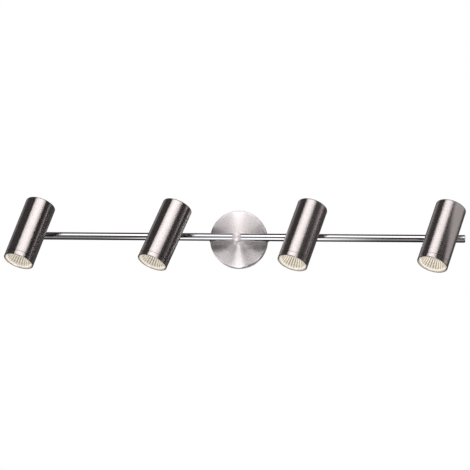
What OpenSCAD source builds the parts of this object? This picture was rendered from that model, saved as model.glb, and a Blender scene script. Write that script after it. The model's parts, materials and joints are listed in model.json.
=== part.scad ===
// Bar spotlight: a round wall canopy, a hub post, one straight bar and four swivelling heads,
// each with a mains-voltage reflector lamp in a twist-lock socket.
// X runs along the bar, Y runs into the wall and Z is up. The wall is the plane Y = 0.
// The origin is the centre of the mounting strap on the wall.

/* [Canopy] */
// Outside diameter of the canopy
canopy_d = 105; // [95:1:130]
// Height of the canopy off the wall
canopy_depth = 22; // [18:1:35]
// Sheet thickness of the canopy
canopy_wall = 1.2; // [0.8:0.1:2]
// Radius of the canopy's front edge
canopy_edge_r = 2.5; // [1.5:0.5:5]

/* [Mounting strap] */
// Width of the strap across its length
strap_w = 22; // [16:1:28]
// Sheet thickness of the strap and its ears
strap_t = 1.5; // [1:0.1:2.5]
// Height of the two ears that hold the canopy
ear_h = 13; // [10:1:16]
// Closest pair of wall screws that the slots take, centre to centre
screw_span_near = 69.9; // [60:0.1:75]
// Widest pair of wall screws that the slots take, centre to centre
screw_span_far = 88.9; // [80:0.1:90]
// Width of the wall screw slots
slot_w = 4.5; // [4:0.1:5.5]
// Diameter of the wire hole in the middle of the strap
strap_hole_d = 14; // [10:1:16]
// Thread diameter of the canopy and earth screws
screw_d = 4; // [3:0.5:4]

/* [Hub] */
// Distance that the post's side stands out past the bar's
hub_margin = 1; // [0.5:0.5:4]
// Distance that the post's end stands in front of the bar
hub_proud = 0.8; // [0.3:0.1:4]
// Distance that the foot flares out past the post
hub_foot_flare = 3; // [1:0.5:8]
// Length of the flared foot
hub_foot_h = 6; // [3:1:10]
// Outside diameter of the hollow threaded nipple
nipple_d = 10; // [8:0.5:11]
// Bore of the nipple
nipple_bore = 7; // [5:0.5:8]
// Width of the hub nut across its flats
nut_af = 14; // [13:1:17]
// Thickness of the hub nut
nut_h = 3.5; // [3:0.5:5]
// Diameter of the washer under the nut
washer_d = 20; // [17:1:26]
// Thickness of the washer
washer_t = 1.2; // [0.8:0.1:2]

/* [Bar] */
// Distance from one head to the next along the bar
head_step = 245; // [160:1:320]
// Distance from the outer heads' stems to the bar's ends
end_over = 42.5; // [20:0.5:120]
// Outside diameter of the bar
bar_d = 14; // [13:0.5:16]
// Wall of the bar tube
bar_wall = 1.2; // [0.8:0.1:1.5]
// Distance from the wall to the bar's axis
bar_off = 55; // [50:1:90]
// Length of the sleeve that joins the two bar tubes through the hub
joiner_len = 64; // [50:2:100]
// Wall of that sleeve
joiner_wall = 1.3; // [1:0.1:1.5]
// Thickness of the end cap's visible disc
cap_t = 2; // [1:0.5:4]
// Depth of the end cap's plug inside the tube
cap_plug = 6; // [4:1:12]
// Diameter of each insulated lead
lead_d = 1.8; // [1.4:0.1:2]

/* [Heads] */
// Overall length of a head
head_len = 120; // [108:1:160]
// Wall of the head shell and of its front ring
head_wall = 1.4; // [1:0.1:1.8]
// Radius of the closed rear end's edge
rear_edge_r = 2.5; // [1.5:0.5:5]
// Length of the front ring that shows
ring_len = 8.5; // [6:0.5:12]
// Depth of the ring's spigot inside the shell
ring_spigot = 4.5; // [3:0.5:8]
// Distance from the tilt pin to the mouth, along the head
mouth_reach = 76; // [72:1:90]
// Gap between the lamp's face and the mouth around it
lamp_gap = 1.1; // [0.8:0.1:3]
// Swivel of each head about its stem, from straight down, left to right
head_swivel = [15, 20, 17, 17.5]; // [0:0.5:40]
// Tilt of each head away from the wall, left to right
head_tilt = [21.5, 20, 22, 21.5]; // [0:0.5:27]

/* [Swivel joint] */
// Distance that the fixed collar's side stands out past the stem's
collar_lip = 0.5; // [0:0.1:1]
// Height of the collar above the tube
collar_h = 4; // [3:0.5:6]
// Distance from the collar's face to the tilt pin
stem_reach = 9; // [8.5:0.5:20]
// Diameter of the swivel stem and its fork
stem_d = 12; // [11:0.5:14]
// Diameter of the stem's hollow spigot, which turns in the collar
spigot_d = 6; // [5:0.5:6.5]
// Bore of the stem for the leads
stem_bore = 3.8; // [3:0.2:4]
// Width of the rolled lip that keeps the spigot in the collar
flange_lip = 1; // [0.6:0.1:1.2]
// Thickness of the rolled lip
flange_t = 1; // [0.6:0.1:1.2]
// Diameter of the tilt screw's shank
pin_d = 4; // [3:0.5:4.5]
// Thickness of the head's lug, which sits in the fork
lug_t = 4; // [3:0.5:5]
// Wall of the lug's eye around the pin
eye_wall = 3.2; // [2:0.1:3.5]
// Gap between the fork's tip and the saddle on the head
neck_gap = 2; // [1:0.5:8]
// Length of the saddle that carries the lug, along the head
saddle_len = 24; // [18:1:26]
// Width of the saddle around the head
saddle_w = 16; // [12:1:20]
// Thickness of the saddle
saddle_t = 1.5; // [1:0.1:1.8]
// Diameter of the two rivets through the saddle
rivet_d = 3; // [2:0.5:4]

/* [Lamp and socket] */
// Diameter of the lamp's face
lamp_d = 50; // [48:0.5:51]
// Length of the lamp without its contact pins
lamp_len = 47; // [44:1:50]
// Depth of the lamp's face behind the mouth
lamp_recess = 1; // [0.5:0.5:3]
// Glass thickness of the lamp's reflector
glass_t = 1.2; // [1:0.1:2]
// Length of the lamp's ceramic base
base_len = 17; // [15:1:20]
// Diameter of the ceramic base
base_d = 25; // [22:0.5:27]
// Distance between the two contact pins
pin_pitch = 10; // [9:0.5:11]
// Length of the contact pins
contact_len = 7; // [5:0.5:8]
// Diameter of the contact pins' locking heads
contact_head_d = 5; // [4:0.5:5.5]
// Diameter of the ceramic socket
socket_d = 28; // [24:1:32]
// Thickness of the ceramic socket
socket_len = 18; // [14:1:19]
// Thickness of the socket's carrier plate
carrier_t = 1; // [0.8:0.1:2]
// Height of the carrier plate's rim
carrier_rim = 8; // [5:1:10]

/* [Fits] */
// Radial clearance of a pin that turns in a hole
turn_gap = 0.05; // [0.02:0.01:0.1]
// Clearance between faces that move past each other
face_gap = 0.3; // [0.2:0.05:0.5]
// Radial clearance of a piece that is pushed into another
push_gap = 0.1; // [0.05:0.05:0.2]

/* [Hidden] */
$fn = 96;
HEADS = [1, 2, 3, 4];
cut = 1;
edge_break = 0.4;
driver_slot = 1;
rod_fn = 32;
bend_share = 1.1;

bar_len = 3 * head_step + 2 * end_over;
head_r = lamp_d / 2 + lamp_gap + head_wall;
head_d = 2 * head_r;
canopy_r = canopy_d / 2;
canopy_in_r = canopy_r - canopy_wall;
slot_centre = (screw_span_near + screw_span_far) / 4;
slot_len = (screw_span_far - screw_span_near) / 2 + slot_w;
ear_x = sqrt(pow(canopy_in_r, 2) - pow(strap_w / 2, 2)) - face_gap;
ear_screw_y = -ear_h + 5;
earth_screw_x = slot_centre - slot_len / 2 - 9;
earth_head_d = screw_d + 4;
earth_head_t = 3;
pan_head_d = screw_d + 3;
pan_head_t = 1.8;
screw_past_ear = 3;

block_w = 18;
block_h = 20;
block_depth = 12;
block_x = -strap_hole_d / 2 - block_w - 5;
way_pitch = 6;
way_d = 3;
lead_tail = 4;
lead_turn = 2;

hub_d = bar_d + 2 * hub_margin;
hub_foot_d = hub_d + 2 * hub_foot_flare;
hub_end_y = -(bar_off + bar_d / 2 + hub_proud);
hub_foot_rim = 1.5;
hub_edge = 0.5;
nipple_in = 14;
nipple_past_nut = 2;
nipple_out = canopy_wall + washer_t + nut_h + nipple_past_nut;

bar_r = bar_d / 2;
bar_in_r = bar_r - bar_wall;
joiner_r = bar_in_r - push_gap;
tube_len = bar_len / 2 - cap_t;
lead_back = 2;
lead_side = lead_d * 0.75;
set_screw_d = 3;
set_screw_sink = 0.3;
hex_key = 1.5;
hex_depth = 1;
seat_gap = 0.02;
bush_wall = 1.2;
set_screw_x = hub_d / 2 + 12;

function head_x(k) = (k - 2.5) * head_step;
pin_off = bar_r + collar_h + stem_reach;
pin_y = -(bar_off + pin_off);
collar_d = stem_d + 2 * collar_lip;
flange_d = spigot_d + 2 * flange_lip;
flange_back = sqrt(pow(bar_in_r, 2) - pow(flange_d / 2, 2)) - 0.2;
bush_end = flange_back + face_gap;
fork_r = stem_d / 2;
eye_d = pin_d + 2 * eye_wall;
axis_drop = head_r + saddle_t + neck_gap + fork_r;
slot_side = lug_t / 2 + face_gap;
slot_back = eye_d / 2 + 0.8;
fork_flat = fork_r - 0.6;
screw_head_d = pin_d + 3;
screw_head_t = 2;

head_in_r = head_r - head_wall;
rear_z = head_len - mouth_reach;
mouth_z = -mouth_reach;
ring_top = mouth_z + ring_len;
spigot_r = head_in_r - push_gap;
spigot_in_r = lamp_d / 2 + 0.35;
rivet_z = saddle_len / 4;
rivet_head_d = rivet_d + 2;
rivet_head_t = 1;
rivet_gap = 0.2;
ring_seam = 0.3;

face_z = mouth_z + lamp_recess;
flange_len = 2.5;
bowl_end = face_z + lamp_len - base_len;
bowl_neck_r = base_d / 2;
bowl_rim_r = lamp_d / 2 - 1;
bowl_steps = 14;
flange_edge = 0.3;
base_step = 1.5;
base_end = face_z + lamp_len;
contact_d = 2.6;
contact_head_len = 2.5;
contact_hole_d = contact_head_d + 0.6;
contact_hole_len = contact_len + 1;
lens_inset = 0.4;
lens_t = 1.8;
lens_gap = 0.05;
socket_end = base_end + socket_len;
socket_step = 4;
carrier_hole_d = 8;
carrier_hole_x = socket_d / 2 + carrier_hole_d / 2 + 1;
carrier_notch = 4;
lead_hole_d = 5;
lead_hole_z = saddle_len / 2 + lead_hole_d / 2 + 1.5;

// A round bar of diameter d from point a to point b
module rod(a, b, d) {
  v = b - a;
  translate(a)
    rotate([0, acos(v[2] / norm(v)), atan2(v[1], v[0])])
      cylinder(h = norm(v), d = d, $fn = rod_fn);
}

// A lead that follows straight stretches, with a slightly fuller ball at each bend
module lead(points) {
  for (i = [0 : len(points) - 2]) rod(points[i], points[i + 1], lead_d);
  for (i = [1 : len(points) - 2]) translate(points[i]) sphere(d = lead_d * bend_share, $fn = rod_fn);
}

// A cylinder that starts at y = 0 and runs towards the room, which is -Y
module out(h, d) { rotate([90, 0, 0]) cylinder(h = h, d = d); }

// A cylinder along X, from x0 to x1
module along_x(x0, x1, d) { translate([x0, 0, 0]) rotate([0, 90, 0]) cylinder(h = x1 - x0, d = d); }

// Mirrors its children to the left when s is -1
module to_side(s) { mirror([s < 0 ? 1 : 0, 0, 0]) children(); }

// Places its children in the frame of head k's stem: the tilt pin is at the origin, the bar is at +Y
module at_stem(k) {
  translate([head_x(k), pin_y, 0]) rotate([0, head_swivel[k - 1], 0]) children();
}

// Places its children in the frame of head k: the pin is at the origin and the mouth points to -Z
module at_head(k) { at_stem(k) rotate([-head_tilt[k - 1], 0, 0]) children(); }

// The same, moved onto the head's axis
module on_axis(k) { at_head(k) translate([0, -axis_drop, 0]) children(); }

// ---- canopy and strap ----

// Edge radius inside a wall: the outer radius less the wall, but never a sharp corner
function inner_edge_r(edge, wall) = max(edge - wall, 0.5);

// Section of a cup of radius r and depth h with a rounded edge; its closed end is at the top
module cup_section(r, h, edge) {
  square([r - edge, h]);
  square([r, h - edge]);
  translate([r - edge, h - edge]) circle(r = edge);
}

module canopy() {
  color("gainsboro")
    difference() {
      rotate([90, 0, 0]) rotate_extrude() cup_section(canopy_r, canopy_depth, canopy_edge_r);
      translate([0, cut, 0]) rotate([90, 0, 0]) rotate_extrude()
        cup_section(
          canopy_in_r, canopy_depth - canopy_wall + cut, inner_edge_r(canopy_edge_r, canopy_wall)
        );
      out(canopy_depth + cut, nipple_d + 2 * push_gap);
      translate([0, ear_screw_y, 0]) along_x(-canopy_d, canopy_d, screw_d + 2 * push_gap);
    }
}

module screw_slot() {
  for (s = [-1, 1])
    translate([s * (slot_len - slot_w) / 2, cut, 0]) out(strap_t + 2 * cut, slot_w);
  translate([-(slot_len - slot_w) / 2, -strap_t - cut, -slot_w / 2])
    cube([slot_len - slot_w, strap_t + 2 * cut, slot_w]);
}

module mounting_strap() {
  color("silver")
    difference() {
      union() {
        translate([-ear_x, -strap_t, -strap_w / 2]) cube([2 * ear_x, strap_t, strap_w]);
        for (s = [-1, 1])
          translate([s * (ear_x - strap_t / 2) - strap_t / 2, -ear_h, -strap_w / 2])
            cube([strap_t, ear_h, strap_w]);
      }
      for (s = [-1, 1]) translate([s * slot_centre, 0, 0]) screw_slot();
      translate([0, cut, 0]) out(strap_t + 2 * cut, strap_hole_d);
      translate([earth_screw_x, cut, 0]) out(strap_t + 2 * cut, screw_d);
      translate([0, ear_screw_y, 0]) along_x(-canopy_d, canopy_d, screw_d);
    }
}

// Two pan-head screws through the canopy's rim into the strap's ears
module canopy_screws() {
  color("gray")
    for (s = [-1, 1]) translate([0, ear_screw_y, 0]) to_side(s) {
      along_x(ear_x - strap_t - screw_past_ear, canopy_r + pan_head_t / 2, screw_d);
      along_x(canopy_r, canopy_r + pan_head_t, pan_head_d);
    }
}

module earth_screw() {
  color("green")
    difference() {
      union() {
        translate([earth_screw_x, 0, 0]) out(strap_t + earth_head_t / 2, screw_d);
        translate([earth_screw_x, -strap_t, 0]) out(earth_head_t, earth_head_d);
      }
      translate([earth_screw_x - earth_head_d, -strap_t - earth_head_t - cut, -driver_slot / 2])
        cube([2 * earth_head_d, driver_slot + cut, driver_slot]);
    }
}

module terminal_block() {
  color("white")
    translate([block_x, -strap_t - block_depth, -block_h / 2])
      difference() {
        cube([block_w, block_depth, block_h]);
        for (i = [-1, 0, 1]) translate([-cut, block_depth / 2, block_h / 2 + i * way_pitch]) {
          along_x(0, block_w + 2 * cut, way_d);
          for (share = [0.25, 0.75]) translate([cut + share * block_w, 0, 0]) out(block_depth, way_d);
        }
      }
}

// ---- hub ----

module hub_post() {
  foot_y = -canopy_depth;
  post_len = -hub_end_y - canopy_depth;
  color("gainsboro")
    difference() {
      translate([0, foot_y, 0]) rotate([90, 0, 0]) rotate_extrude()
        polygon([
          [0, 0], [hub_foot_d / 2, 0], [hub_foot_d / 2, hub_foot_rim], [hub_d / 2, hub_foot_h],
          [hub_d / 2, post_len - hub_edge], [hub_d / 2 - hub_edge, post_len], [0, post_len]
        ]);
      translate([0, foot_y + cut, 0]) out(nipple_in + cut, nipple_d);
      translate([0, foot_y, 0]) out(bar_off - canopy_depth, nipple_bore);
      translate([0, -bar_off, 0]) along_x(-hub_d, hub_d, 2 * bar_in_r);
    }
}

module hub_nipple() {
  color("goldenrod")
    translate([0, -canopy_depth + nipple_out, 0])
      difference() {
        out(nipple_out + nipple_in, nipple_d);
        translate([0, cut, 0]) out(nipple_out + nipple_in + 2 * cut, nipple_bore);
      }
}

module hub_washer() {
  color("silver")
    translate([0, -canopy_depth + canopy_wall + washer_t, 0])
      difference() {
        out(washer_t, washer_d);
        translate([0, cut, 0]) out(washer_t + 2 * cut, nipple_d + 2 * push_gap);
      }
}

module hub_nut() {
  color("goldenrod")
    translate([0, -canopy_depth + canopy_wall + washer_t + nut_h, 0])
      difference() {
        rotate([90, 0, 0]) cylinder(h = nut_h, d = nut_af / cos(30), $fn = 6);
        translate([0, cut, 0]) out(nut_h + 2 * cut, nipple_d);
      }
}

// ---- bar ----

module bar_joiner() {
  color("silver")
    translate([0, -bar_off, 0])
      difference() {
        along_x(-joiner_len / 2, joiner_len / 2, 2 * joiner_r);
        along_x(-joiner_len, joiner_len, 2 * (joiner_r - joiner_wall));
        rotate([-90, 0, 0]) cylinder(h = bar_d, d = nipple_bore);
        for (s = [-1, 1])
          translate([s * set_screw_x, bar_d, 0]) out(bar_d, set_screw_d);
      }
}

// Headless screws that pin the tubes to the joining sleeve from the wall side
module bar_set_screws() {
  color("gray")
    for (s = [-1, 1])
      translate([s * set_screw_x, -bar_off + bar_r - set_screw_sink, 0])
        difference() {
          out(bar_wall + push_gap + joiner_wall - set_screw_sink, set_screw_d);
          translate([0, cut, 0]) rotate([90, 0, 0])
            cylinder(h = hex_depth + cut, d = hex_key / cos(30), $fn = 6);
        }
}

// The right-hand tube with its two brazed collars; s = -1 gives the left-hand tube
module bar_tube(s) {
  ks = s > 0 ? [3, 4] : [1, 2];
  color("silver")
    difference() {
      union() {
        translate([0, -bar_off, 0]) to_side(s)
          difference() {
            along_x(0, tube_len, bar_d);
            along_x(-cut, tube_len + cut, 2 * bar_in_r);
          }
        for (k = ks) translate([head_x(k), -bar_off, 0]) {
          difference() {
            out(bar_r + collar_h, collar_d);
            along_x(-collar_d, collar_d, bar_d - bar_wall);
          }
          translate([0, -bush_end, 0]) out(bar_r - bush_end, spigot_d + 2 * bush_wall);
        }
      }
      translate([0, -canopy_depth, 0]) out(bar_off, hub_d + 2 * seat_gap);
      for (k = ks) translate([head_x(k), -bar_off, 0]) out(bar_d, spigot_d + 2 * turn_gap);
      translate([s * set_screw_x, -bar_off + bar_d, 0]) out(bar_d, set_screw_d);
    }
}

module bar_left() { bar_tube(-1); }
module bar_right() { bar_tube(1); }

module end_cap(s) {
  color("silver")
    translate([0, -bar_off, 0]) to_side(s) {
      translate([tube_len, 0, 0]) rotate([0, 90, 0]) rotate_extrude()
        polygon([
          [0, 0], [bar_r, 0], [bar_r, cap_t - edge_break], [bar_r - edge_break, cap_t], [0, cap_t]
        ]);
      along_x(tube_len - cap_plug, tube_len, 2 * (bar_in_r - push_gap));
    }
}

module end_cap_left() { end_cap(-1); }
module end_cap_right() { end_cap(1); }

// Two leads along the bar, joined through the hub to the terminal block
module bar_leads() {
  run = 1.5 * head_step;
  lead_y = -bar_off + lead_back;
  bend_y = -strap_t - block_depth / 2;
  color("ivory")
    for (u = [-1, 1]) {
      z = u * lead_side;
      rod([-run, lead_y, z], [run, lead_y, z], lead_d);
      lead([
        [0, lead_y, z], [0, bend_y, z],
        [block_x + block_w + lead_turn, bend_y, u * way_pitch],
        [block_x + block_w - lead_tail, bend_y, u * way_pitch]
      ]);
    }
}

// ---- swivel and tilt joint ----

module swivel_stem(k) {
  flange_top = pin_off - flange_back + flange_t;
  color("silver")
    at_stem(k)
      difference() {
        union() {
          intersection() {
            translate([0, stem_reach - face_gap, 0]) out(stem_reach - face_gap + fork_r, stem_d);
            union() {
              along_x(-stem_d, stem_d, 2 * fork_r);
              translate([-stem_d, 0, -stem_d]) cube([2 * stem_d, stem_reach, 2 * stem_d]);
            }
            union() {
              translate([-fork_flat, -stem_d, -stem_d])
                cube([2 * fork_flat, stem_d + slot_back, 2 * stem_d]);
              translate([-stem_d, slot_back, -stem_d]) cube([2 * stem_d, stem_d, 2 * stem_d]);
            }
          }
          translate([0, flange_top, 0]) out(flange_top - stem_reach + cut, spigot_d);
          translate([0, flange_top, 0]) out(flange_t, flange_d);
        }
        translate([0, pin_off, 0]) out(pin_off - slot_back + cut, stem_bore);
        translate([-slot_side, -stem_d, -stem_d]) cube([2 * slot_side, stem_d + slot_back, 2 * stem_d]);
        along_x(-stem_d, stem_d, pin_d + 2 * turn_gap);
      }
}

// Shoulder screw that the head tilts about, with a slotted head
module tilt_screw(k) {
  color("silver")
    at_stem(k)
      difference() {
        union() {
          along_x(-fork_flat, fork_flat + screw_head_t / 2, pin_d);
          along_x(fork_flat, fork_flat + screw_head_t, screw_head_d);
        }
        translate([fork_flat + screw_head_t - driver_slot, -screw_head_d, -driver_slot / 2])
          cube([driver_slot + cut, 2 * screw_head_d, driver_slot]);
      }
}

// One rivet that starts before y = 0 by the lead-in; its head is inside the shell's wall
module rivet(lead_in) {
  translate([0, lead_in, 0]) out(lead_in + head_wall + rivet_head_t / 2, rivet_d);
  translate([0, -head_wall - rivet_gap, 0]) out(rivet_head_t, rivet_head_d);
}

// Eye, neck and curved saddle in one casting, riveted to the shell
module head_lug(k) {
  neck = axis_drop - head_r;
  color("silver")
    at_head(k)
      difference() {
        union() {
          along_x(-lug_t / 2, lug_t / 2, eye_d);
          translate([-lug_t / 2, -neck, -eye_d / 2]) cube([lug_t, neck, eye_d]);
          intersection() {
            translate([0, -axis_drop, -saddle_len / 2]) cylinder(h = saddle_len, r = head_r + saddle_t);
            translate([-saddle_w / 2, -axis_drop, -saddle_len / 2]) cube([saddle_w, axis_drop, saddle_len]);
          }
          for (s = [-1, 1]) translate([0, -neck, s * rivet_z]) rivet(0);
        }
        difference() {
          translate([0, -axis_drop, -saddle_len]) cylinder(h = 2 * saddle_len, r = head_r);
          for (s = [-1, 1]) translate([0, -neck, s * rivet_z]) rivet(cut);
        }
        along_x(-stem_d, stem_d, pin_d + 2 * turn_gap);
      }
}

// ---- head ----

module head_shell(k) {
  color("dimgray")
    on_axis(k)
      difference() {
        rotate_extrude() translate([0, ring_top]) cup_section(head_r, rear_z - ring_top, rear_edge_r);
        rotate_extrude() translate([0, ring_top - cut])
          cup_section(head_in_r, rear_z - ring_top - head_wall + cut, inner_edge_r(rear_edge_r, head_wall));
        for (s = [-1, 1])
          translate([0, head_d, s * rivet_z]) out(head_d, rivet_d);
        translate([0, head_d, lead_hole_z]) out(head_d, lead_hole_d);
      }
}

// Screwed ring that keeps the lamp's face centred in the mouth
module front_ring(k) {
  color("dimgray")
    on_axis(k)
      rotate_extrude()
        polygon([
          [head_in_r, mouth_z], [head_r - edge_break, mouth_z], [head_r, mouth_z + edge_break],
          [head_r, ring_top - ring_seam], [head_r - ring_seam, ring_top], [spigot_r, ring_top],
          [spigot_r, ring_top + ring_spigot], [spigot_in_r, ring_top + ring_spigot],
          [spigot_in_r, ring_top - 1], [head_in_r, ring_top - 2]
        ]);
}

// Radius of the lamp's bowl at the share u of its depth
function bowl_r(u) = sqrt(pow(bowl_neck_r, 2) + (pow(bowl_rim_r, 2) - pow(bowl_neck_r, 2)) * (1 - u));
function bowl_z(u) = face_z + flange_len + (bowl_end - face_z - flange_len) * u;

module lamp_reflector(k) {
  outside = [for (i = [0 : bowl_steps]) [bowl_r(i / bowl_steps), bowl_z(i / bowl_steps)]];
  inside = [for (i = [bowl_steps : -1 : 0]) [bowl_r(i / bowl_steps) - glass_t, bowl_z(i / bowl_steps)]];
  color("lightyellow")
    on_axis(k)
      rotate_extrude()
        polygon(concat(
          [[bowl_rim_r - glass_t, face_z], [lamp_d / 2 - flange_edge, face_z],
           [lamp_d / 2, face_z + flange_edge], [lamp_d / 2, face_z + flange_len]],
          outside, inside));
}

module lamp_lens(k) {
  color("white", 0.4)
    on_axis(k) translate([0, 0, face_z + lens_inset])
      cylinder(h = lens_t, r = bowl_rim_r - glass_t - lens_gap);
}

module contacts(d, head, len) {
  for (s = [-1, 1]) translate([s * pin_pitch / 2, 0, 0]) {
    cylinder(h = len, d = d);
    translate([0, 0, len - contact_head_len]) cylinder(h = contact_head_len, d = head);
  }
}

// Ceramic base with its two locking contact pins
module lamp_base(k) {
  color("white")
    on_axis(k) {
      translate([0, 0, bowl_end]) rotate_extrude()
        polygon([
          [0, 0], [base_d / 2, 0], [base_d / 2, base_len / 2],
          [base_d / 2 - base_step, base_len / 2 + base_step / 2],
          [base_d / 2 - base_step, base_len], [0, base_len]
        ]);
      translate([0, 0, base_end - cut]) contacts(contact_d, contact_head_d, contact_len + cut);
    }
}

module lamp_socket(k) {
  color("white")
    on_axis(k) translate([0, 0, base_end])
      difference() {
        cylinder(h = socket_len, d = socket_d);
        for (s = [-1, 1]) translate([s * pin_pitch / 2, 0, -cut])
          cylinder(h = contact_hole_len + cut, d = contact_hole_d);
        translate([0, -socket_d, socket_len - socket_step])
          cube([socket_d, 2 * socket_d, socket_step + cut]);
      }
}

// Spring-fit steel plate that carries the socket across the shell
module socket_carrier(k) {
  color("silver")
    on_axis(k) translate([0, 0, socket_end])
      difference() {
        translate([0, 0, -carrier_rim]) cylinder(h = carrier_rim + carrier_t, r = head_in_r - push_gap);
        translate([0, 0, -carrier_rim - cut])
          cylinder(h = carrier_rim + cut, r = head_in_r - push_gap - carrier_t);
        for (s = [-1, 1]) translate([s * carrier_hole_x, 0, -cut])
          cylinder(h = carrier_t + 2 * cut, d = carrier_hole_d);
        translate([socket_d / 4, 0, -cut]) cylinder(h = carrier_t + 2 * cut, d = 4 * lead_d);
        translate([-rivet_head_d / 2 - cut, head_in_r - carrier_notch, -carrier_rim - cut])
          cube([rivet_head_d + 2 * cut, carrier_notch + cut, carrier_rim + carrier_t + 2 * cut]);
      }
}

// Two leads from the back of the socket to the hole beside the lug
module head_leads(k) {
  color("ivory")
    on_axis(k)
      for (s = [-1, 1])
        lead([
          [s * lead_side + socket_d / 4, 0, socket_end - socket_step],
          [s * lead_side + socket_d / 4, 0, lead_hole_z],
          [s * lead_side, head_in_r - 8, lead_hole_z],
          [s * lead_side, head_r - 0.5, lead_hole_z]
        ]);
}

canopy();
mounting_strap();
canopy_screws();
earth_screw();
terminal_block();
hub_post();
hub_nipple();
hub_washer();
hub_nut();
bar_joiner();
bar_set_screws();
bar_left();
bar_right();
end_cap_left();
end_cap_right();
bar_leads();
for (k = HEADS) {
  swivel_stem(k);
  tilt_screw(k);
  head_lug(k);
  head_shell(k);
  front_ring(k);
  lamp_reflector(k);
  lamp_lens(k);
  lamp_base(k);
  lamp_socket(k);
  socket_carrier(k);
  head_leads(k);
}
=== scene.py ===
import json
import math

import bmesh
import bpy
from mathutils import Matrix, Vector


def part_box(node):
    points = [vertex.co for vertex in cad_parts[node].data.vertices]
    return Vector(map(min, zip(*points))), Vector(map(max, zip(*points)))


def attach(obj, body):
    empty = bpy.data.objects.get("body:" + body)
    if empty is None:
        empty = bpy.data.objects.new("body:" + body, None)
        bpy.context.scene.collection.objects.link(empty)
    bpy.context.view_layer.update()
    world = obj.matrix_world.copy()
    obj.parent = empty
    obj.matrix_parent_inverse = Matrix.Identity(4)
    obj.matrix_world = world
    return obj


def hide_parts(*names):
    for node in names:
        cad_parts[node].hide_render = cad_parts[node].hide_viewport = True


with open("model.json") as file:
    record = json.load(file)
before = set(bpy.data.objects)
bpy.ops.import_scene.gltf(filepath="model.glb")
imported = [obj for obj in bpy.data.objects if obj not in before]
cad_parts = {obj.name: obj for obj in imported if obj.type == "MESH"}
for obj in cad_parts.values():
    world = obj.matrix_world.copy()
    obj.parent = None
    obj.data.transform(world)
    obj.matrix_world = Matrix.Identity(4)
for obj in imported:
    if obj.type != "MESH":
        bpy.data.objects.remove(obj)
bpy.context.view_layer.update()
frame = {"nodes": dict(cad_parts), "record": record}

MM = 0.001
HEADS = (1, 2, 3, 4)
FRONT = Vector((0, -1, 0))
INTO_WALL = Vector((0, 1, 0))
ALONG_BAR = Vector((1, 0, 0))
UP = Vector((0, 0, 1))
WALL_CENTRE = Vector((0, 0, 0))

# ---------------------------------------------------------------- camera

CAMERA_AZIMUTH = 5.25
CAMERA_ELEVATION = -6.4
CAMERA_ROLL = 1.0
CAMERA_DISTANCE = 3.3
CAMERA_AIM = Vector((-0.0031, -0.060, 0.0034))
LENS_MM = 139.9
SENSOR_MM = 36


def towards(azimuth_deg, elevation_deg):
    """Direction from the object, with azimuth 0 straight to the front and positive to the right."""
    azimuth = math.radians(azimuth_deg)
    elevation = math.radians(elevation_deg)
    return Vector((
        math.sin(azimuth) * math.cos(elevation),
        -math.cos(azimuth) * math.cos(elevation),
        math.sin(elevation),
    ))


def add_camera():
    back = towards(CAMERA_AZIMUTH, CAMERA_ELEVATION)
    turn = (-back).to_track_quat("-Z", "Y").to_matrix()
    roll = Matrix.Rotation(math.radians(CAMERA_ROLL), 3, "Z")
    data = bpy.data.cameras.new("camera")
    data.lens = LENS_MM
    data.sensor_width = SENSOR_MM
    camera = bpy.data.objects.new("camera", data)
    place = Matrix.Translation(CAMERA_AIM + back * CAMERA_DISTANCE)
    camera.matrix_world = place @ (turn @ roll).to_4x4()
    bpy.context.scene.collection.objects.link(camera)
    bpy.context.scene.camera = camera


# ---------------------------------------------------------------- the frame's places


def middle(node):
    low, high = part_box(node)
    return (low + high) / 2


def head_axis(k):
    """Direction of head k's axis, towards its mouth."""
    return (middle(f"lamp_lens_{k}") - middle(f"head_shell_{k}")).normalized()


def span(node, origin, axis):
    """How far a CAD node reaches along axis from origin: (least, most)."""
    reach = [(v.co - origin).dot(axis) for v in frame["nodes"][node].data.vertices]
    return min(reach), max(reach)


def widest(node, origin, axis):
    """Largest distance of a CAD node from the line through origin along axis."""
    return max((v.co - origin).cross(axis).length for v in frame["nodes"][node].data.vertices)


# ---------------------------------------------------------------- node helpers


def new_material(name, color, metallic, roughness):
    """A material with its Principled shader: (material, node tree, shader)."""
    material = bpy.data.materials.new(name)
    material.use_nodes = True
    tree = material.node_tree
    shader = tree.nodes["Principled BSDF"]
    shader.inputs["Base Color"].default_value = (*color, 1)
    shader.inputs["Metallic"].default_value = metallic
    shader.inputs["Roughness"].default_value = roughness
    return material, tree, shader


def plug(tree, socket, value):
    """Links an output to the socket, or sets the socket's own value."""
    if isinstance(value, bpy.types.NodeSocket):
        tree.links.new(value, socket)
    elif isinstance(value, (int, float)):
        socket.default_value = value
    else:
        socket.default_value = tuple(value)


def maths(tree, operation, *values):
    node = tree.nodes.new("ShaderNodeMath")
    node.operation = operation
    for socket, value in zip(node.inputs, values):
        plug(tree, socket, value)
    return node.outputs[0]


def vectors(tree, operation, *values):
    """A vector node's output; a scaled vector takes its factor as the second value."""
    node = tree.nodes.new("ShaderNodeVectorMath")
    node.operation = operation
    sockets = [node.inputs[0], node.inputs[3]] if operation == "SCALE" else node.inputs
    for socket, value in zip(sockets, values):
        plug(tree, socket, value)
    return node.outputs["Value" if operation in ("DOT_PRODUCT", "LENGTH") else "Vector"]


def object_place(tree):
    return tree.nodes.new("ShaderNodeTexCoord").outputs["Object"]


def noise(tree, vector, scale, detail=2, w=None):
    node = tree.nodes.new("ShaderNodeTexNoise")
    node.inputs["Scale"].default_value = scale
    node.inputs["Detail"].default_value = detail
    plug(tree, node.inputs["Vector"], vector)
    if w is not None:
        node.noise_dimensions = "4D"
        plug(tree, node.inputs["W"], w)
    return node.outputs["Fac"]


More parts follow.
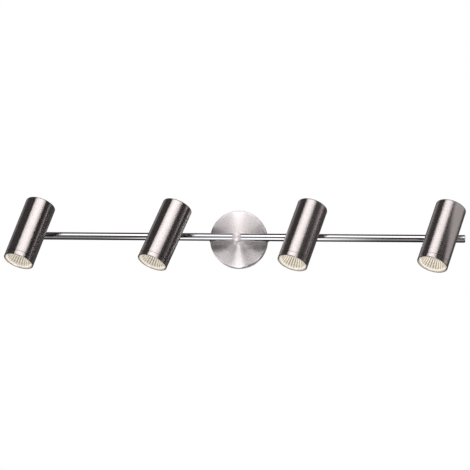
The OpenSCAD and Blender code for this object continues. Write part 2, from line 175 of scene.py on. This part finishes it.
def spread(tree, value, low, high, to_low, to_high):
    """value from low to high becomes to_low to to_high, clamped."""
    node = tree.nodes.new("ShaderNodeMapRange")
    for socket, number in zip(node.inputs, (value, low, high, to_low, to_high)):
        plug(tree, socket, number)
    return node.outputs["Result"]


def tinted(tree, factor, dark, light):
    """A colour from dark to light as factor goes from 0 to 1."""
    node = tree.nodes.new("ShaderNodeMix")
    node.data_type = "RGBA"
    plug(tree, node.inputs["Factor"], factor)
    plug(tree, node.inputs[6], (*dark, 1))
    plug(tree, node.inputs[7], (*light, 1))
    return node.outputs[2]


def bump(tree, shader, height, strength, distance):
    node = tree.nodes.new("ShaderNodeBump")
    node.inputs["Strength"].default_value = strength
    node.inputs["Distance"].default_value = distance
    plug(tree, node.inputs["Height"], height)
    plug(tree, shader.inputs["Normal"], node.outputs["Normal"])


def mixed(tree, factor, first, second):
    """A mix of two shaders: the first at factor 0, the second at factor 1."""
    node = tree.nodes.new("ShaderNodeMixShader")
    plug(tree, node.inputs[0], factor)
    plug(tree, node.inputs[1], first)
    plug(tree, node.inputs[2], second)
    return node.outputs[0]


def surface(tree, shader_output):
    """Makes a shader's output the material's surface."""
    plug(tree, tree.nodes["Material Output"].inputs["Surface"], shader_output)


def shaded(color, share):
    return tuple(channel * share for channel in color)


def give(node, material):
    """Puts one material on a CAD node or a piece."""
    slots = node.data.materials
    if len(slots) == 0:
        slots.append(material)
    for i in range(len(slots)):
        slots[i] = material


# ---------------------------------------------------------------- materials

# Where most of a noise value lies, spread over a roughness range
NOISE_SPAN = (0.3, 0.7)
# Brushed rings: fine grooves to a metre, how often a groove changes round its ring, and how many
# fine grooves there are to a broad streak
GROOVES = 2500
FINE_TURNS = 9.0
BROAD_TURNS = 1.6
FINE_IN_BROAD = 22
# The crisp share of the gloss; a negative stretch spreads it across the grooves
CRISP_ROUGHNESS = (0.26, 0.31)
CRISP_STRETCH = -0.7
# Painted shade: a dark line at the joint between a head's shell and its front ring, in its narrow gap
SEAM_HALF = 0.3 * MM
SEAM_SHADE = 0.55
# Waves to a metre in a lead's braid
STRANDS = 900
# The lamp's flutes start FLANGE_DEPTH behind the middle of its lens
FLUTES = 28
FLANGE_DEPTH = 1.5 * MM
FLANGE_FADE = 2 * MM
# Painted light on the lamp's mirror: the painted lit colour of its ribs and flange, and the painted
# shade of its grooves
LAMP_WARM = (1.0, 0.95, 0.87)
LAMP_SHADOW = (0.28, 0.22, 0.15)


def brush_marks(tree, around, ring):
    """Grain of brushed rings: (fine grooves, broader streaks that include them)."""
    fine_ring = maths(tree, "MULTIPLY", ring, GROOVES)
    broad_ring = maths(tree, "MULTIPLY", ring, GROOVES / FINE_IN_BROAD)
    fine = noise(tree, vectors(tree, "SCALE", around, FINE_TURNS), 1, 3, fine_ring)
    broad = noise(tree, vectors(tree, "SCALE", around, BROAD_TURNS), 1, 2, broad_ring)
    return fine, maths(tree, "MULTIPLY_ADD", fine, 0.6, maths(tree, "MULTIPLY", broad, 0.5))


def seam_gap(tree, height, seam):
    """Painted shade: SEAM_SHADE within the narrow gap at that height, 1 away from it."""
    off_seam = maths(tree, "ABSOLUTE", maths(tree, "SUBTRACT", height, seam))
    return spread(tree, off_seam, SEAM_HALF, 2 * SEAM_HALF, SEAM_SHADE, 1)


def crisp_flats(tree, color, tangent, fine):
    """Gloss of the flats between the grooves, which spreads little."""
    flats = tree.nodes.new("ShaderNodeBsdfAnisotropic")
    flats.inputs["Color"].default_value = (*color, 1)
    flats.inputs["Anisotropy"].default_value = CRISP_STRETCH
    plug(tree, flats.inputs["Roughness"], spread(tree, fine, *NOISE_SPAN, *CRISP_ROUGHNESS))
    plug(tree, flats.inputs["Tangent"], tangent)
    return flats.outputs[0]


def turned_metal(name, origin, axis, color, roughness, anisotropy, radial=False, crisp=0, seam=None):
    """Metal brushed in rings about a line: grooves run round it, and gloss spreads across them.
    crisp is the share of the gloss that comes from the flats between the grooves.
    seam is the height along the axis of a joint whose narrow gap gets a painted shade line."""
    material, tree, shader = new_material(name, color, 1, roughness)
    place = vectors(tree, "SUBTRACT", object_place(tree), origin)
    height = vectors(tree, "DOT_PRODUCT", place, axis)
    outward = vectors(tree, "SUBTRACT", place, vectors(tree, "SCALE", axis, height))
    around = vectors(tree, "NORMALIZE", outward)
    ring = maths(tree, "ADD", height, vectors(tree, "LENGTH", outward))

    turn = tree.nodes.new("ShaderNodeVectorTransform")
    turn.vector_type = "VECTOR"
    turn.convert_from = "OBJECT"
    turn.convert_to = "WORLD"
    plug(tree, turn.inputs[0], around if radial else axis)
    tangent = turn.outputs[0]
    plug(tree, shader.inputs["Tangent"], tangent)
    shader.inputs["Anisotropic"].default_value = anisotropy

    fine, streaks = brush_marks(tree, around, ring)
    gloss = spread(tree, fine, *NOISE_SPAN, roughness * 0.8, roughness * 1.2)
    plug(tree, shader.inputs["Roughness"], gloss)
    tone = tinted(tree, streaks, shaded(color, 0.86), shaded(color, 1.06))
    # Painted shade along the joint's narrow gap
    if seam is not None:
        tone = vectors(tree, "SCALE", tone, seam_gap(tree, height, seam))
    plug(tree, shader.inputs["Base Color"], tone)
    bump(tree, shader, fine, 0.06, 0.03 * MM)
    if crisp:
        flats = crisp_flats(tree, color, tangent, fine)
        surface(tree, mixed(tree, crisp, shader.outputs[0], flats))
    return material


def polished_metal(name, color, roughness):
    """Plated metal with faint handling marks in its gloss."""
    material, tree, shader = new_material(name, color, 1, roughness)
    place = object_place(tree)
    smudge = noise(tree, place, 55, 4)
    speck = noise(tree, place, 900, 2)
    gloss = spread(tree, smudge, 0.35, 0.75, roughness, roughness + 0.03)
    plug(tree, shader.inputs["Roughness"], gloss)
    tone = tinted(tree, smudge, shaded(color, 0.96), shaded(color, 1.03))
    plug(tree, shader.inputs["Base Color"], tone)
    bump(tree, shader, speck, 0.05, 0.01 * MM)
    return material


def plated_sheet(name, color, roughness):
    """Zinc-plated or machined metal with a cloudy, lightly scratched surface."""
    material, tree, shader = new_material(name, color, 1, roughness)
    place = object_place(tree)
    cloud = noise(tree, place, 130, 5)
    scratches = noise(tree, vectors(tree, "MULTIPLY", place, (90, 1500, 1500)), 1, 2)
    gloss = spread(tree, cloud, *NOISE_SPAN, roughness - 0.08, roughness + 0.12)
    plug(tree, shader.inputs["Roughness"], gloss)
    tone = tinted(tree, cloud, shaded(color, 0.8), shaded(color, 1.08))
    plug(tree, shader.inputs["Base Color"], tone)
    bump(tree, shader, scratches, 0.15, 0.04 * MM)
    return material


def moulded(name, color, roughness, grain, relief):
    """Plastic or ceramic with a fine surface grain."""
    material, tree, shader = new_material(name, color, 0, roughness)
    place = object_place(tree)
    cloud = noise(tree, place, 60, 3)
    texture = noise(tree, place, grain, 2)
    gloss = spread(tree, texture, *NOISE_SPAN, roughness - 0.05, roughness + 0.08)
    plug(tree, shader.inputs["Roughness"], gloss)
    plug(tree, shader.inputs["Base Color"], tinted(tree, cloud, shaded(color, 0.92), color))
    bump(tree, shader, texture, relief, 0.04 * MM)
    return material


def braided(name, color):
    """A lead's woven sleeve: two crossing sets of fine diagonal waves."""
    material, tree, shader = new_material(name, color, 0, 0.7)
    place = object_place(tree)
    weave = []
    for slant in ((1, 1, 1), (1, -1, -1)):
        wave = tree.nodes.new("ShaderNodeTexWave")
        wave.inputs["Scale"].default_value = 1
        wave.inputs["Distortion"].default_value = 0.4
        slanted = vectors(tree, "MULTIPLY", place, tuple(STRANDS * way for way in slant))
        plug(tree, wave.inputs["Vector"], slanted)
        weave.append(wave.outputs["Fac"])
    cloth = maths(tree, "MAXIMUM", *weave)
    plug(tree, shader.inputs["Base Color"], tinted(tree, cloth, shaded(color, 0.7), color))
    plug(tree, shader.inputs["Roughness"], spread(tree, cloth, 0, 1, 0.85, 0.6))
    bump(tree, shader, cloth, 0.5, 0.1 * MM)
    return material


def lamp_mirror(k):
    """Aluminised glass with a warm reflection; painted highlights and glow on its ribs and flange,
    painted shade in its grooves.
    """
    axis = head_axis(k)
    turn = frame_of(axis, ALONG_BAR)
    material, tree, shader = new_material(f"lamp_mirror_{k}", LAMP_WARM, 1, 0.26)
    place = object_place(tree)
    arm = vectors(tree, "SUBTRACT", place, middle(f"lamp_lens_{k}"))
    rise = vectors(tree, "DOT_PRODUCT", arm, turn.col[1])
    run = vectors(tree, "DOT_PRODUCT", arm, turn.col[0])
    angle = maths(tree, "ARCTAN2", rise, run)
    wave = maths(tree, "ABSOLUTE", maths(tree, "SINE", maths(tree, "MULTIPLY", angle, FLUTES / 2)))
    depth = maths(tree, "MULTIPLY", vectors(tree, "DOT_PRODUCT", arm, axis), -1.0)
    inside = spread(tree, depth, FLANGE_DEPTH, FLANGE_DEPTH + FLANGE_FADE, 0, 1)
    # Painted shade in the flute grooves; the ribs and the flange stay painted bright
    groove = maths(tree, "MULTIPLY", inside, spread(tree, wave, 0.3, 0.85, 1, 0))
    cloud = noise(tree, place, 220, 3)
    clouded = maths(tree, "MULTIPLY_ADD", cloud, 0.2, 0.85)
    light = maths(tree, "MULTIPLY_ADD", groove, -0.8, clouded)
    plug(tree, shader.inputs["Roughness"], spread(tree, cloud, *NOISE_SPAN, 0.16, 0.3))
    plug(tree, shader.inputs["Base Color"], tinted(tree, light, LAMP_SHADOW, LAMP_WARM))
    # Painted glow: emission brightest on the ribs and flange, dim in the grooves
    shader.inputs["Emission Color"].default_value = (1.0, 0.93, 0.83, 1)
    plug(tree, shader.inputs["Emission Strength"], spread(tree, light, 0, 1, 0.06, 0.60))
    bump(tree, shader, noise(tree, place, 1500, 2), 0.1, 0.05 * MM)
    return material


def clear_glass(name):
    """Thin cover glass: it lets light through and mirrors a little, more at a slant."""
    material = bpy.data.materials.new(name)
    material.use_nodes = True
    tree = material.node_tree
    tree.nodes.remove(tree.nodes["Principled BSDF"])
    through = tree.nodes.new("ShaderNodeBsdfTransparent")
    through.inputs["Color"].default_value = (0.97, 0.975, 0.97, 1)
    gloss = tree.nodes.new("ShaderNodeBsdfGlossy")
    ripple = noise(tree, object_place(tree), 160, 2)
    plug(tree, gloss.inputs["Roughness"], spread(tree, ripple, *NOISE_SPAN, 0.02, 0.07))
    bump(tree, gloss, ripple, 0.05, 0.1 * MM)
    facing = tree.nodes.new("ShaderNodeLayerWeight").outputs["Facing"]
    slant = maths(tree, "MULTIPLY_ADD", maths(tree, "POWER", facing, 5.0), 0.9, 0.04)
    surface(tree, mixed(tree, slant, through.outputs[0], gloss.outputs[0]))
    return material


def burner_glass(name):
    """Frosted capsule glass with a painted warm glow."""
    material, tree, shader = new_material(name, (0.95, 0.93, 0.88), 0, 0.12)
    cloud = noise(tree, object_place(tree), 500, 3)
    plug(tree, shader.inputs["Roughness"], spread(tree, cloud, *NOISE_SPAN, 0.06, 0.2))
    tone = tinted(tree, cloud, (0.85, 0.82, 0.76), (1.0, 0.98, 0.95))
    plug(tree, shader.inputs["Base Color"], tone)
    # Painted glow: weak emission that brightens the capsule
    shader.inputs["Emission Color"].default_value = (1.0, 0.9, 0.75, 1)
    shader.inputs["Emission Strength"].default_value = 0.35
    bump(tree, shader, cloud, 0.05, 0.05 * MM)
    return material


# ---------------------------------------------------------------- mesh helpers

SHARP_EDGE = math.radians(35)


def frame_of(axis, side):
    """A rotation whose Z is axis and whose X is the part of side square to it."""
    x = (side - axis * side.dot(axis)).normalized()
    return Matrix((x, axis.cross(x), axis)).transposed()


def arc(centre, radius, start, end, steps):
    """Points (r, z) on a round stretch of a profile, angles in degrees from the +r direction."""
    angles = [math.radians(start + (end - start) * i / steps) for i in range(steps + 1)]
    return [(centre[0] + radius * math.cos(a), centre[1] + radius * math.sin(a)) for a in angles]


def new_piece(name, mesh, body, material):
    piece = bpy.data.objects.new(name, mesh)
    bpy.context.scene.collection.objects.link(piece)
    give(piece, material)
    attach(piece, body)
    return piece


def lathe_ring(bm, i, r, z, origin, turn, segments, ripple):
    """One ring of vertices; a point on the axis gives the same vertex all round."""
    if r == 0:
        return [bm.verts.new(origin + turn @ Vector((0, 0, z)))] * segments
    ring = []
    for j in range(segments):
        angle = 2 * math.pi * j / segments
        far = ripple(angle, i, r) if ripple else r
        spot = Vector((far * math.cos(angle), far * math.sin(angle), z))
        ring.append(bm.verts.new(origin + turn @ spot))
    return ring


def lathe(name, profile, origin, turn, segments, ripple=None, closed=True):
    """A turned mesh about the Z axis of turn, from (r, z) points in metres. ripple(angle, i, r)
    gives point i its radius at that angle. A closed profile runs back to its first point."""
    bm = bmesh.new()
    rings = []
    for i, (r, z) in enumerate(profile):
        rings.append(lathe_ring(bm, i, r, z, origin, turn, segments, ripple))
    pairs = list(zip(rings, rings[1:]))
    if closed:
        pairs.append((rings[-1], rings[0]))
    for low, high in pairs:
        for j in range(segments):
            n = (j + 1) % segments
            corners = list(dict.fromkeys((low[j], low[n], high[n], high[j])))
            if len(corners) > 2:
                bm.faces.new(corners)
    bmesh.ops.recalc_face_normals(bm, faces=bm.faces)
    for face in bm.faces:
        face.smooth = True
    for edge in bm.edges:
        if len(edge.link_faces) == 2 and edge.calc_face_angle(0) > SHARP_EDGE:
            edge.smooth = False
    mesh = bpy.data.meshes.new(name)
    bm.to_mesh(mesh)
    bm.free()
    return mesh


# ---------------------------------------------------------------- lamp

# Depths are shares of the bowl's radius, and a flute has FLUTE_SEGMENTS faces round the bowl.
# The flutes grow from the rim over 1/RIM_FADE of the bowl and shrink near the neck to NECK_LEAST.
FLUTE_DEPTH = 0.06
FLUTE_SEGMENTS = 12
STEP_ROWS = 5
STEP_DEPTH = 0.01
BOWL_STEPS = 40
BOWL_WALL = 1.2 * MM
BOWL_GAP = 0.1 * MM
RIM_FADE = 12
NECK_FADE = 8
NECK_LEAST = 0.25
FLANGE_THICK = 2.5 * MM
LIP_BEVEL = 0.3 * MM
LIP_ROUND = 0.5 * MM

BURNER_R = 4.4 * MM
BURNER_HEIGHT = 19 * MM
FOOT_R = 1.15 * BURNER_R
FOOT_HEIGHT = 2 * MM
WAIST_R = 0.8 * BURNER_R
WAIST_HEIGHT = 3 * MM
SHOULDER_R = 1.5 * MM
SHOULDER_HEIGHT = 6 * MM


def bowl_profile(rim, neck, depth, inset):
    """One face of the bowl from the rim at z = 0 back to the neck; inset moves it inwards."""
    points = []
    for i in range(BOWL_STEPS + 1):
        share = i / BOWL_STEPS
        bulge = neck ** 2 + (rim ** 2 - neck ** 2) * (1 - share)
        points.append((math.sqrt(bulge) - inset, -depth * share))
    return points


def flange_lip(bowl_r, flange_r, face):
    """Front of the flange from the bowl's edge outwards, with a bevel inside and a round outside."""
    return [
        (bowl_r, face - LIP_BEVEL),
        (bowl_r + LIP_BEVEL, face),
        (flange_r - LIP_ROUND, face),
        (flange_r - 0.3 * LIP_ROUND, face - 0.3 * LIP_ROUND),
        (flange_r, face - LIP_ROUND),
        (flange_r, face - FLANGE_THICK),
    ]


def fluted_reflector(k):
    """The lamp's bowl and plain flange: flutes run from rim to neck, crossed by shallow steps."""
    axis = head_axis(k)
    origin = middle(f"lamp_lens_{k}")
    turn = frame_of(axis, ALONG_BAR)
    node = f"lamp_reflector_{k}"
    back, face = span(node, origin, axis)
    flange_r = widest(node, origin, axis)
    lens_r = widest(f"lamp_lens_{k}", origin, axis)
    neck_r = widest(f"lamp_base_{k}", origin, axis)
    rim_r = lens_r + BOWL_WALL
    rim_z = face - FLANGE_THICK
    depth = rim_z - back
    inner = [(r, z + rim_z) for r, z in bowl_profile(rim_r, neck_r, depth, BOWL_WALL + BOWL_GAP)]
    outer = [(r, z + rim_z) for r, z in bowl_profile(rim_r, neck_r, depth, 0)]
    profile = inner[::-1] + flange_lip(rim_r - BOWL_WALL, flange_r, face) + outer
    rim = len(inner) - 1

    def flute(angle, i, r):
        if i >= rim:
            return r
        share = 1 - i / rim
        fade = min(1, share * RIM_FADE) * min(1, (1 - share) * NECK_FADE + NECK_LEAST)
        scallop = abs(math.sin(FLUTES * angle / 2))
        step = abs(math.sin(STEP_ROWS * math.pi * share))
        return r * (1 - fade * (FLUTE_DEPTH * (1 - scallop) + STEP_DEPTH * (1 - step)))

    mesh = lathe(f"lamp_bowl_{k}", profile, origin, turn, FLUTES * FLUTE_SEGMENTS, flute)
    piece = new_piece(f"lamp_bowl_{k}", mesh, f"head_{k}", lamp_mirror(k))
    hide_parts(node)


def burner(k):
    """The small glass capsule in the middle of the bowl, with its pinched foot."""
    axis = head_axis(k)
    origin = middle(f"lamp_lens_{k}")
    foot = span(f"lamp_base_{k}", origin, axis)[1]
    top = foot + BURNER_HEIGHT
    profile = [(0, foot), (FOOT_R, foot), (FOOT_R, foot + FOOT_HEIGHT), (WAIST_R, foot + WAIST_HEIGHT)]
    profile += arc((BURNER_R - SHOULDER_R, foot + SHOULDER_HEIGHT), SHOULDER_R, -60, 0, 5)
    profile += arc((0, top - BURNER_R), BURNER_R, 0, 90, 12)
    profile[-1] = (0, top)
    mesh = lathe(f"burner_{k}", profile, origin, frame_of(axis, ALONG_BAR), 48, closed=False)
    new_piece(f"burner_{k}", mesh, f"head_{k}", MATERIALS["burner"])


# ---------------------------------------------------------------- bar ends

CAP_EDGE_R = 1.7 * MM
CAP_STEP = 1.3 * MM


def end_cap(side, name):
    """The bar's end disc with a rounded edge; side is -1 on the left and 1 on the right."""
    node = f"end_cap_{name}"
    axis = ALONG_BAR * side
    origin = Vector((0, middle(node).y, middle(node).z))
    inside, face = span(node, origin, axis)
    r = widest(node, origin, axis)
    shoulder = span(f"bar_{name}", origin, axis)[1]
    spigot_r = r - CAP_STEP
    profile = [(0, inside), (spigot_r, inside), (spigot_r, shoulder), (r, shoulder)]
    profile += arc((r - CAP_EDGE_R, face - CAP_EDGE_R), CAP_EDGE_R, 0, 90, 10)
    profile += [(0, face)]
    mesh = lathe(f"cap_{name}", profile, origin, frame_of(axis, UP), 96, closed=False)
    piece = new_piece(f"cap_{name}", mesh, "fixture", MATERIALS["bar_chrome"])
    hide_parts(node)


# ---------------------------------------------------------------- materials on the CAD nodes

NICKEL = (0.61, 0.58, 0.57)
CANOPY_NICKEL = (0.96, 0.93, 0.925)
CHROME = (0.62, 0.62, 0.64)

MATERIALS = {
    "bar_chrome": polished_metal("bar_chrome", CHROME, 0.05),
    "joint_chrome": polished_metal("joint_chrome", CHROME, 0.08),
    "screw_nickel": plated_sheet("screw_nickel", (0.62, 0.61, 0.60), 0.3),
    "zinc_steel": plated_sheet("zinc_steel", (0.62, 0.64, 0.66), 0.38),
    "brass": plated_sheet("brass", (0.80, 0.60, 0.28), 0.3),
    "earth_green": plated_sheet("earth_green", (0.10, 0.42, 0.16), 0.4),
    "terminal_nylon": moulded("terminal_nylon", (0.86, 0.85, 0.80), 0.45, 2600, 0.1),
    "ceramic": moulded("ceramic", (0.90, 0.88, 0.83), 0.3, 1800, 0.06),
    "lead_silicone": braided("lead_silicone", (0.83, 0.80, 0.72)),
    "lamp_glass": clear_glass("lamp_glass"),
    "burner": burner_glass("burner"),
    "canopy_nickel": turned_metal(
        "canopy_nickel", WALL_CENTRE, FRONT, CANOPY_NICKEL, 0.45, 1.0, radial=True, crisp=0.45),
    "post_nickel": turned_metal(
        "post_nickel", WALL_CENTRE, FRONT, CANOPY_NICKEL, 0.50, 0.7, radial=True),
}


def dress_cad_nodes():
    """Every CAD node takes the material of its slot, and each head has its own nickel."""
    for part in frame["record"]["subparts"]:
        node, slot = part["node"], part["material_slot"]
        if slot in MATERIALS:
            give(frame["nodes"][node], MATERIALS[slot])
    for k in HEADS:
        origin, axis = middle(f"lamp_lens_{k}"), head_axis(k)
        ring_top = span(f"head_shell_{k}", origin, axis)[1]
        # The joint with the front ring gets a painted shade line
        metal = turned_metal(f"head_nickel_{k}", origin, axis, NICKEL, 0.25, 1.0, seam=ring_top)
        for node in (f"head_shell_{k}", f"front_ring_{k}"):
            give(frame["nodes"][node], metal)


# ---------------------------------------------------------------- studio

# Spans are (low, high): x and y in metres on the floor, azimuth in radians, and world
# directions from -1 to 1. Glows are brightness, where 1 is white.
FLOOR_DROP = 2.2
FLOOR_RADIUS = 7
FLOOR_PALE = (0.86, 0.86, 0.86)
FLOOR_DARK = (0.05, 0.05, 0.05)
PATCH_X = (-0.55, 0.15)
PATCH_GLOW = 1.6
LIT_X = (-1.6, 0.75)
LIT_Y = (-5.4, -0.32)
LIT_GLOW = 0.32
PAPER_GLOW = 0.78

STUDIO_COLOR = (1.0, 0.91, 0.92, 1)
STUDIO_DARK = 0.038
WALL_LEFT = (-1.5, -0.44)
WALL_RIGHT = (0.26, 0.8)
WALL_Z = (-0.16, 0.26)
WALL_GLOW = 0.40
BACK_Y = (0.3, 0.5)
BACK_Z = (-0.1, 0.1)
BACK_GLOW = 0.12
HIGH_BACK_Y = (0.4, 0.6)
HIGH_BACK_Z = (0.3, 0.85)
HIGH_BACK_GLOW = 0.4

PANEL_X = (-0.92, 0.68)
PANEL_Z = (0.26, 2.1)
PANEL_Y = -0.93
PANEL_GLOW = 1.75
PANEL_FADE = (0.66, 0.84, 0.98, 1.0, 0.90, 0.76)
PANEL_COLOR = (1.0, 0.955, 0.96)

CARD_START = Vector((0.051, -0.0435, 0.15))
CARD_END = Vector((0.25, 0.13, 0.15))
CARD_HEIGHT = 0.5
CARD_GLOW = 0.40
CARD_COLOR = (1.0, 0.93, 0.91)

# Each fill: its azimuth in degrees, its width and its glow
FILLS = {"fill_left": (-48, 0.8, 1.7), "fill_middle": (-5, 0.3, 1.9), "fill_right": (42, 0.8, 1.7)}
FILL_ELEVATION = -29
FILL_DISTANCE = 1.3
FILL_HEIGHT = 0.75
FILL_COLOR = (1.0, 0.98, 0.98)


def window(tree, value, low, high, soft):
    """1 where value lies between low and high, fading to 0 over soft."""
    rise = spread(tree, value, low - soft, low + soft, 0, 1)
    fall = spread(tree, value, high - soft, high + soft, 1, 0)
    return maths(tree, "MULTIPLY", rise, fall)


def wall_glow(tree, direction):
    """Glow of the studio around the object: walls low at the sides, and two zones behind."""
    split = tree.nodes.new("ShaderNodeSeparateXYZ")
    plug(tree, split.inputs[0], direction)
    x, y, z = split.outputs
    azimuth = maths(tree, "ARCTAN2", x, maths(tree, "MULTIPLY", y, -1.0))
    left = window(tree, azimuth, *WALL_LEFT, 0.1)
    right = window(tree, azimuth, *WALL_RIGHT, 0.1)
    sides = maths(tree, "MULTIPLY", maths(tree, "ADD", left, right), window(tree, z, *WALL_Z, 0.08))
    behind = maths(tree, "MULTIPLY", spread(tree, y, *BACK_Y, 0, 1), spread(tree, z, *BACK_Z, 1, 0))
    high_zone = window(tree, z, *HIGH_BACK_Z, 0.1)
    high_behind = maths(tree, "MULTIPLY", spread(tree, y, *HIGH_BACK_Y, 0, 1), high_zone)
    glow = maths(tree, "MULTIPLY", sides, WALL_GLOW)
    glow = maths(tree, "MULTIPLY_ADD", behind, BACK_GLOW, glow)
    return maths(tree, "MULTIPLY_ADD", high_behind, HIGH_BACK_GLOW, glow)


def studio_world():
    """White where the camera looks past the object, and a dim studio where the metal mirrors it."""
    world = bpy.data.worlds.new("studio")
    bpy.context.scene.world = world
    world.use_nodes = True
    tree = world.node_tree
    tree.nodes.clear()
    glow = wall_glow(tree, tree.nodes.new("ShaderNodeTexCoord").outputs["Generated"])
    studio = tree.nodes.new("ShaderNodeBackground")
    studio.inputs["Color"].default_value = STUDIO_COLOR
    plug(tree, studio.inputs["Strength"], maths(tree, "ADD", glow, STUDIO_DARK))
    paper = tree.nodes.new("ShaderNodeBackground")
    paper.inputs["Color"].default_value = (1, 1, 1, 1)
    seen = tree.nodes.new("ShaderNodeLightPath").outputs["Is Camera Ray"]
    output = tree.nodes.new("ShaderNodeOutputWorld")
    plug(tree, output.inputs["Surface"], mixed(tree, seen, studio.outputs[0], paper.outputs[0]))


def softbox(name, centre, facing, width, height, glow, color):
    """A rectangular light of a given brightness, unseen by the camera. Its energy is 4 times its
    area times its brightness."""
    data = bpy.data.lights.new(name, "AREA")
    data.shape = "RECTANGLE"
    data.size = width
    data.size_y = height
    data.energy = 4 * width * height * glow
    data.color = color
    light = bpy.data.objects.new(name, data)
    turn = facing.to_track_quat("-Z", "Y").to_matrix().to_4x4()
    light.matrix_world = Matrix.Translation(centre) @ turn
    light.visible_camera = False
    bpy.context.scene.collection.objects.link(light)
    return light


def key_panel():
    """Tall panel in front, in strips that fade to its sides: one bright band along every head."""
    left, right = PANEL_X
    bottom, top = PANEL_Z
    width = (right - left) / len(PANEL_FADE)
    for i, share in enumerate(PANEL_FADE):
        centre = Vector((left + (i + 0.5) * width, PANEL_Y, (bottom + top) / 2))
        glow = share * PANEL_GLOW
        softbox(f"key_panel_{i}", centre, INTO_WALL, width, top - bottom, glow, PANEL_COLOR)


def side_card():
    """Dim card close to the right-hand head; the others see it almost edge-on."""
    start = middle("head_shell_4") + CARD_START
    end = middle("head_shell_4") + CARD_END
    along = (end - start).normalized()
    facing = Vector((-along.y, along.x, 0))
    width = (end - start).length
    softbox("side_card", (start + end) / 2, facing, width, CARD_HEIGHT, CARD_GLOW, CARD_COLOR)


def low_fills():
    """Panels low in front that light only the canopy and the post."""
    lit = bpy.data.collections.new("lit_by_fills")
    for node in ("canopy", "hub_post"):
        lit.objects.link(frame["nodes"][node])
    for name, (azimuth, width, glow) in FILLS.items():
        way = towards(azimuth, FILL_ELEVATION)
        fill = softbox(name, way * FILL_DISTANCE, -way, width, FILL_HEIGHT, glow, FILL_COLOR)
        fill.light_linking.receiver_collection = lit


def floor_paper():
    """Pale to the camera; to the metal, dark with two patches of light in front of the bar."""
    material, tree, shader = new_material("floor_paper", FLOOR_PALE, 0, 0.8)
    place = object_place(tree)
    seen = tree.nodes.new("ShaderNodeLightPath").outputs["Is Camera Ray"]
    mottle = spread(tree, noise(tree, place, 3, 4), 0, 1, 0.95, 1)
    tone = tinted(tree, maths(tree, "MULTIPLY", seen, mottle), FLOOR_DARK, FLOOR_PALE)
    plug(tree, shader.inputs["Base Color"], tone)

    split = tree.nodes.new("ShaderNodeSeparateXYZ")
    plug(tree, split.inputs[0], place)
    patch = maths(tree, "MULTIPLY", window(tree, split.outputs["X"], *PATCH_X, 0.12), PATCH_GLOW)
    wide = maths(tree, "MULTIPLY", window(tree, split.outputs["X"], *LIT_X, 0.15), LIT_GLOW)
    front = window(tree, split.outputs["Y"], *LIT_Y, 0.05)
    lit = maths(tree, "MULTIPLY", maths(tree, "MAXIMUM", patch, wide), front)
    mirrored = maths(tree, "MULTIPLY", lit, maths(tree, "SUBTRACT", 1.0, seen))
    paper = maths(tree, "MULTIPLY", seen, PAPER_GLOW)
    shader.inputs["Emission Color"].default_value = (1, 1, 1, 1)
    plug(tree, shader.inputs["Emission Strength"], maths(tree, "MAXIMUM", mirrored, paper))
    return material


def pale_floor():
    """A round sheet of paper well below the object."""
    bm = bmesh.new()
    bmesh.ops.create_circle(bm, cap_ends=True, radius=FLOOR_RADIUS, segments=96)
    mesh = bpy.data.meshes.new("floor")
    bm.to_mesh(mesh)
    bm.free()
    floor = bpy.data.objects.new("floor", mesh)
    floor.location = (0, 0, -FLOOR_DROP)
    bpy.context.scene.collection.objects.link(floor)
    give(floor, floor_paper())


# ---------------------------------------------------------------- build

add_camera()
dress_cad_nodes()
for k in HEADS:
    fluted_reflector(k)
    burner(k)
end_cap(-1, "left")
end_cap(1, "right")
studio_world()
key_panel()
side_card()
low_fills()
pale_floor()
bpy.context.scene.view_settings.view_transform = "Standard"
